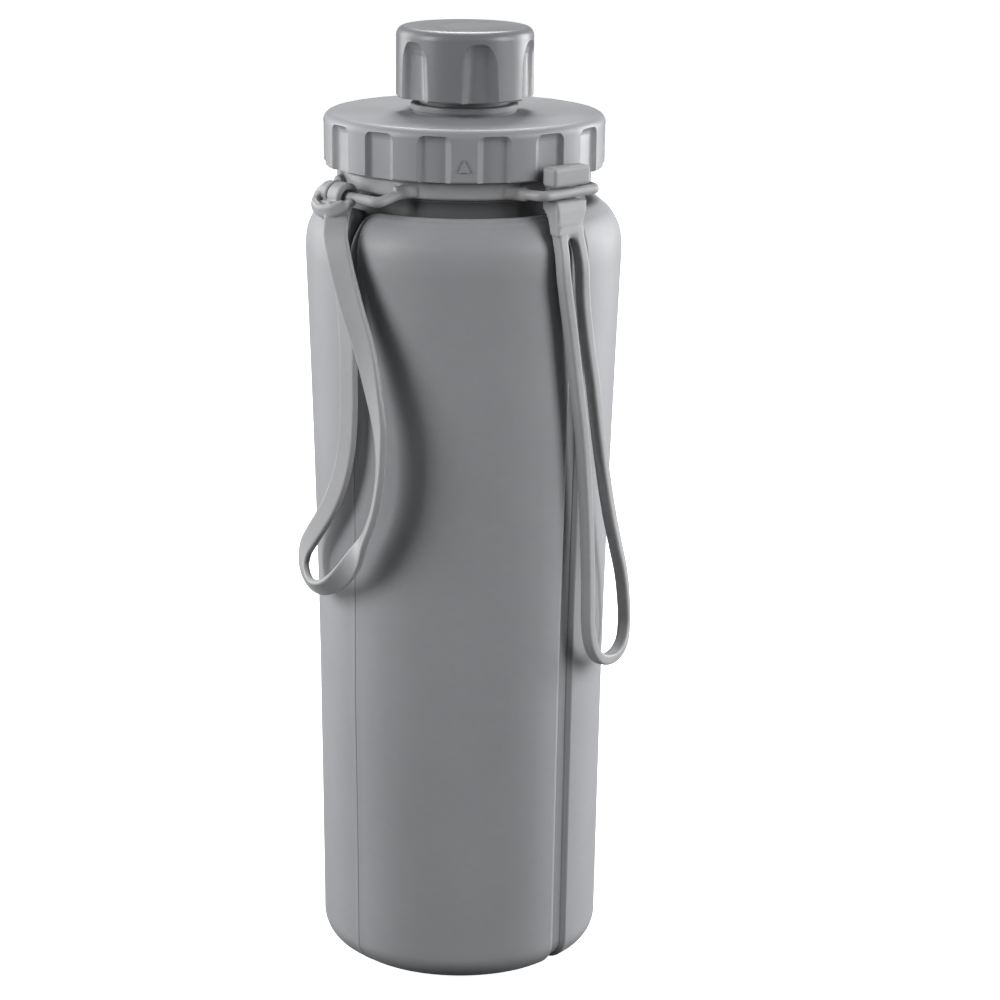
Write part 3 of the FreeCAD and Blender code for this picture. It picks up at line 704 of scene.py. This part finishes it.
def strand_point(azimuth, z):
    """On the body's side lower down, drawn in near the head; the loop's right bulges out."""
    if z < STRAND_TOP_Z[0]:
        radius = max(side_radius(min(z, 182.0)) + 2.35, 41.15)
    else:
        radius = top_strand_radius(z)
    bulge = 1.35 * math.exp(-(((azimuth - 73.0) / 9.0) ** 2))
    return az_point(azimuth, radius + bulge, 0, z)


def arch_points():
    """The round top of the slot between the strands."""
    points = []
    steps = 12
    for i in range(steps + 1):
        a = math.pi * (1.0 - i / steps)
        z = 188.4 + 2.7 * math.sin(a)
        points.append(az_point(38.7 + 3.75 * math.cos(a), top_strand_radius(z), 0, z))
    return points


def strand_sweep(name, points, count):
    path = catmull(points, count)
    section = rounded_section(STRAND_WIDTH, STRAND_THICK, STRAND_ROUND)
    return sweep(name, path, radial(path), [section] * count)


def toggle_point(out, along, z):
    return az_point(TOGGLE_AZ, out, along, z)


def build_toggle():
    bar = box_block(toggle_point, out=(34.65, 39.25), along=(-5.3, 6.1), z=(201.9, 206.5),
                    bevel=0.7)
    throat = box_block(toggle_point, out=(33.2, 35.1), along=(-3.2, 3.2), z=(195.0, 203.0),
                       bevel=0.3)
    head = prism_block(
        toggle_point,
        [(out, z) for out, z, _, _ in TOGGLE_HEAD],
        [middle - half for _, _, middle, half in TOGGLE_HEAD],
        [middle + half for _, _, middle, half in TOGGLE_HEAD],
        bevel=0.28,
    )
    strands = strand_sweep("strands", [strand_point(*row) for row in STRANDS], 260)
    arch = strand_sweep("arch", arch_points(), 60)
    web = prism_block(toggle_point, TOGGLE_WEB, -4.3, 1.9, bevel=0.3)
    return fuse("toggle_strap", [bar, throat, head, strands, arch, web], mat_strap,
                voxel=0.26, relax_steps=4)


toggle = build_toggle()

# ------------------------------------------------------------ hanging loop
KNOT_AZ = -53.5

# the band down from the knot, round its bottom turn and up again:
# (azimuth, distance from the axis, z, azimuth its broad face points to)
BAND = [
    (-48.6, 39.0, 196.6, -8), (-48.0, 40.2, 194.2, -9), (-45.8, 42.2, 190.0, -11),
    (-42.9, 43.25, 185.6, -15), (-37.4, 43.9, 175.1, -24), (-31.4, 44.2, 163.4, -38),
    (-28.4, 44.4, 154.4, -54), (-26.4, 44.5, 146.5, -66), (-25.9, 44.4, 139.5, -78),
    (-26.4, 44.3, 132.5, -84), (-28.6, 44.1, 124.0, -88), (-32.4, 43.9, 116.8, -92),
    (-37.4, 43.7, 110.6, -100), (-43.6, 43.3, 105.6, -112), (-50.0, 42.9, 102.6, -128),
    (-57.0, 42.6, 101.2, -150), (-63.0, 42.4, 101.9, -88), (-67.6, 42.3, 104.6, -72),
    (-67.2, 42.0, 108.6, -66), (-62.8, 41.4, 113.0, -60), (-57.4, 41.0, 117.4, -56),
    (-51.6, 40.7, 122.9, -52), (-46.6, 40.5, 130.0, -50), (-43.4, 40.5, 138.5, -48),
    (-42.2, 40.6, 147.0, -47), (-42.0, 40.7, 155.0, -46), (-42.0, 40.8, 164.0, -46),
    (-43.6, 40.9, 175.0, -48), (-47.5, 40.9, 186.0, -50), (-52.0, 40.5, 194.5, -52),
]
# band station in the turn: how far its face points away from the middle of the turn
TURN_SHARE = {12: 0.35, 13: 0.6, 14: 0.65, 15: 0.5, 16: 0.25}
TURN_MIDDLE = az_point(-58.5, 42.0, 0, 110.0)
TURN_FACE = az_point(-70, 1, 0, 0)  # the direction that takes the rest of the share

ROD_OUT, ROD_Z = 36.6, 198.15
# the two folds of the band over the rod: (along, bend radius, width)
ROD_FOLDS = ((-3.7, 2.075, 3.7), (1.2, 2.375, 4.7))
FOLD_ANGLES = (-62, -30, 0, 30, 60, 90, 120, 150, 180, 212)
# the bight that crosses in front below the folds: (along, out, z)
BIGHT = (
    (-4.4, 37.0, 199.2), (-5.0, 39.2, 197.7), (-4.2, 40.9, 196.0), (-1.6, 41.75, 195.0),
    (1.4, 41.9, 194.9), (4.0, 41.3, 195.4), (5.5, 39.6, 196.3), (5.6, 37.2, 197.2),
)


def knot_point(out, along, z):
    return az_point(KNOT_AZ, out, along, z)


def build_band():
    stations = np.array([az_point(azimuth, out, 0, z) for azimuth, out, z, _ in BAND])
    faces = np.array([az_point(row[3], 1, 0, 0) for row in BAND])
    # in the turn the band bends the easy way, across its thickness
    for i, share in TURN_SHARE.items():
        away = stations[i] - TURN_MIDDLE
        away /= np.linalg.norm(away)
        face = away * share + TURN_FACE * (1 - share)
        faces[i] = face / np.linalg.norm(face)
    path = catmull(stations, 300)
    length = arc_length(stations)
    share_along = np.linspace(0, 1, len(path))
    facing = resample(faces, length / length[-1], share_along)
    for _ in range(12):
        facing[1:-1] = (facing[:-2] + facing[1:-1] * 2 + facing[2:]) / 4
    # the band narrows from 5.9 to 5.3 on its way down
    sections = [
        rounded_section(5.9 - 0.6 * float(smoothstep(0.25, 0.45, s)), 1.7, 0.5)
        for s in share_along
    ]
    return sweep("band", path, facing, sections)


def build_rod_fold(along, bend, width):
    points, facing = [], []
    for angle in FOLD_ANGLES:
        a = math.radians(angle)
        points.append(knot_point(
            ROD_OUT + bend * math.cos(a) * 1.05,
            along + 0.25 * math.sin(a * 1.3),
            ROD_Z + bend * math.sin(a),
        ))
        facing.append(knot_point(math.cos(a), 0, math.sin(a)))
    return tube(points, width, thick=1.6, radius=0.7, count=40, facing=facing)


def build_hanging():
    band = build_band()
    folds = [build_rod_fold(*row) for row in ROD_FOLDS]
    bight = tube([knot_point(out, along, z) for along, out, z in BIGHT], width=3.3, thick=1.9,
                 radius=0.85, count=48, facing=[knot_point(1.0, 0, -0.25)] * len(BIGHT))
    core = box_block(knot_point, out=(38.0, 40.6), along=(-3.0, 2.8), z=(193.8, 197.0),
                     bevel=0.7)
    return fuse("hanging_loop", [band] + folds + [bight, core], mat_strap,
                voxel=0.24, relax_steps=3)


hanging = build_hanging()

# ------------------------------------------------------------ strap ring
LEFT_LUG, RIGHT_LUG = -48.0, 45.0
# (azimuth, how far the lug sags, how far its growing-azimuth side is drawn in)
LUG_PULLS = ((LEFT_LUG, 1.75, 0.0), (RIGHT_LUG, -0.1, 2.3))
# from the ring towards a rod: (azimuth from the lug's middle, out, z)
FAIRING = ((27.0, 30.3, 200.2), (21.5, 31.2, 199.9), (18.5, 33.2, 199.8))


def pulled(points):
    """The soft lugs give: the left one sags under its loop, the right one is drawn in."""
    points = np.array(points, float)
    for azimuth, sag, draw in LUG_PULLS:
        a = math.radians(azimuth)
        out = points[:, 0] * math.sin(a) - points[:, 1] * math.cos(a)
        along = points[:, 0] * math.cos(a) + points[:, 1] * math.sin(a)
        share = smoothstep(30.8, 36.0, out)
        points[:, 2] -= sag * share
        move = -draw * share * smoothstep(3.0, 10.0, along)
        points[:, 0] += move * math.cos(a)
        points[:, 1] += move * math.sin(a)
    return points


def build_fairing(lug, side):
    """The soft run of a lug's rod out of the ring, on one side of the lug."""
    points = [az_point(lug + side * turn, out, 0, z) for turn, out, z in FAIRING]
    return tube(pulled(points), width=3.3, thick=2.4, radius=1.1, count=24)


def build_ring():
    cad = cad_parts["strap_ring"].data
    ring = new_mesh("ring_copy", pulled(mesh_points(cad)), [tuple(p.vertices) for p in cad.polygons])
    fairings = [build_fairing(lug, side) for lug in (RIGHT_LUG, LEFT_LUG) for side in (-1, 1)]
    return fuse("neck_strap_ring", [ring] + fairings, mat_strap,
                voxel=0.28, relax_steps=3)


strap_ring = build_ring()

# ------------------------------------------------------------ finishes of the CAD pieces
FINISHES = {
    "lid_shell": mat_lid,
    "spout_cap": mat_cap,
    "spout": mat_spout,
    "neck_insert": mat_neck,
    "neck_retaining_ring": mat_neck,
    "lid_gasket": mat_seal,
    "spout_gasket": mat_seal,
    "spout_cap_gasket": mat_seal,
}
for node_name, finish in FINISHES.items():
    paint(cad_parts[node_name], finish)

# ------------------------------------------------------------ motion and slots


def on_axis(z):
    """A point on the bottle's axis, in metres."""
    return (0, 0, z / 1000)


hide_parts("body_upper", "body_front_panel")
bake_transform(body_upper, "bottle", "front_panel", start=on_axis(BEND_TOP), end=on_axis(BEND_FOOT))
# the plain blend by height gives way to the flattening weights
blend_values = body_upper.data.attributes["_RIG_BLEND"].data
blend_values.foreach_set("value", upper_weights.astype(np.float32))

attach(body_lower, "lower_half")
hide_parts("body_lower")
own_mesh(body_lower)

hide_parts("toggle_strap_head", "toggle_strap_loop")
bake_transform(toggle, "bottle", "toggle_loop", start=on_axis(192.5), end=on_axis(181.5))

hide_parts("hanging_loop_hitch", "hanging_loop_band")
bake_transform(hanging, "bottle", "hanging_band", start=on_axis(195.0), end=on_axis(187.0))

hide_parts("strap_ring")
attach(strap_ring, "bottle")

# ------------------------------------------------------------ floor (metres from here on)
FLOOR_HALF = 6.0
FLOOR_DROP = 0.0002
WHITE = (1, 1, 1, 1)


def floor_material():
    """Clean white with a soft contact shadow to the camera, dull grey to all other rays."""
    material, tree, bsdf, output = new_material("floor_paint")
    bsdf.inputs["Base Color"].default_value = (0.92, 0.92, 0.92, 1)
    bsdf.inputs["Roughness"].default_value = 0.85
    bsdf.inputs["Specular IOR Level"].default_value = 0.1
    glow = add_node(tree, "Emission", {"Color": WHITE, "Strength": 0.94})
    bright = add_node(tree, "AddShader", {0: bsdf.outputs[0], 1: glow.outputs[0]})
    camera_ray = add_node(tree, "LightPath").outputs["Is Camera Ray"]
    dull = add_node(tree, "BsdfDiffuse", {"Color": (0.16, 0.16, 0.16, 1)})
    pick = add_node(tree, "MixShader", {0: camera_ray, 1: dull.outputs[0], 2: bright.outputs[0]})
    tree.links.new(pick.outputs[0], output.inputs["Surface"])
    return material


def build_floor():
    mesh = bpy.data.meshes.new("floor")
    corners = [(x * FLOOR_HALF, y * FLOOR_HALF, 0) for x, y in ((-1, -1), (1, -1), (1, 1), (-1, 1))]
    mesh.from_pydata(corners, [], [(0, 1, 2, 3)])
    floor = link_object("floor", mesh)
    floor.location.z = -FLOOR_DROP
    mesh.materials.append(floor_material())


build_floor()

# ------------------------------------------------------------ world and lights


def build_world():
    """White to the camera; as light, dark on the camera's side and bright behind."""
    world = bpy.data.worlds.new("studio")
    scene.world = world
    world.use_nodes = True
    tree = world.node_tree
    tree.nodes.clear()
    direction = add_node(tree, "TexCoord").outputs["Generated"]
    parts = add_node(tree, "SeparateXYZ", {0: direction})
    # y from -1..1 to 0..1
    depth = add_node(tree, "Math", {0: parts.outputs["Y"], 1: 0.5, 2: 0.5},
                     operation="MULTIPLY_ADD")
    ramp = add_node(tree, "ValToRGB", {0: depth.outputs[0]})
    ramp.color_ramp.interpolation = "EASE"
    near, far = ramp.color_ramp.elements
    near.position = 0.10
    near.color = (0.10, 0.10, 0.105, 1)
    far.position = 0.62
    far.color = WHITE
    lit = add_node(tree, "Background", {"Color": ramp.outputs[0], "Strength": 0.09})
    seen = add_node(tree, "Background", {"Color": WHITE, "Strength": 1.0})
    camera_ray = add_node(tree, "LightPath").outputs["Is Camera Ray"]
    mix = add_node(tree, "MixShader", {0: camera_ray, 1: lit.outputs[0], 2: seen.outputs[0]})
    add_node(tree, "OutputWorld", {"Surface": mix.outputs[0]})


# (name, azimuth, elevation, distance, width, height, watts)
SOFTBOXES = [
    ("key_left", -66, 22, 1.10, 0.44, 0.70, 10.4),
    ("key_right", 67, 22, 1.10, 0.44, 0.70, 10.1),
    ("rim_left", -118, 12, 1.00, 0.50, 0.90, 8.0),
    ("rim_right", 117, 4, 1.00, 0.50, 0.90, 13.5),
    ("top", 180, 54, 1.00, 0.40, 0.40, 7.5),
]
AIM_Z = 0.12  # the height on the axis that every softbox points at


def softbox(name, azimuth, elevation, distance, width, height, watts):
    a, e = math.radians(azimuth), math.radians(elevation)
    location = (
        distance * math.cos(e) * math.sin(a),
        -distance * math.cos(e) * math.cos(a),
        AIM_Z + distance * math.sin(e),
    )
    light = bpy.data.lights.new(name, "AREA")
    light.shape = "RECTANGLE"
    light.size, light.size_y = width, height
    light.energy = watts
    obj = link_object(name, light)
    obj.location = location
    aim = Vector((0, 0, AIM_Z)) - Vector(location)
    obj.rotation_mode = "QUATERNION"
    obj.rotation_quaternion = aim.to_track_quat("-Z", "Y")
    obj.visible_camera = False


build_world()
for row in SOFTBOXES:
    softbox(*row)

# ------------------------------------------------------------ camera
CAMERA_AT = (0.0, -0.68432, 0.30758)
YAW, PITCH, ROLL = -0.013999, 0.271466, 0.010289  # radians; a positive pitch looks down


def build_camera():
    data = bpy.data.cameras.new("camera")
    camera = link_object("camera", data)
    data.sensor_width = 36.0
    data.lens = 101.158
    data.clip_start, data.clip_end = 0.01, 50.0
    level_right = np.array([math.cos(YAW), math.sin(YAW), 0.0])
    forward = np.array([
        -math.sin(YAW) * math.cos(PITCH),
        math.cos(YAW) * math.cos(PITCH),
        -math.sin(PITCH),
    ])
    level_up = np.cross(level_right, forward)
    right = math.cos(ROLL) * level_right + math.sin(ROLL) * level_up
    up = math.cos(ROLL) * level_up - math.sin(ROLL) * level_right
    pose = np.eye(4)
    pose[:3] = np.column_stack([right, up, -forward, CAMERA_AT])
    camera.matrix_world = Matrix(pose.tolist())
    scene.camera = camera
    scene.view_settings.view_transform = "Standard"


build_camera()
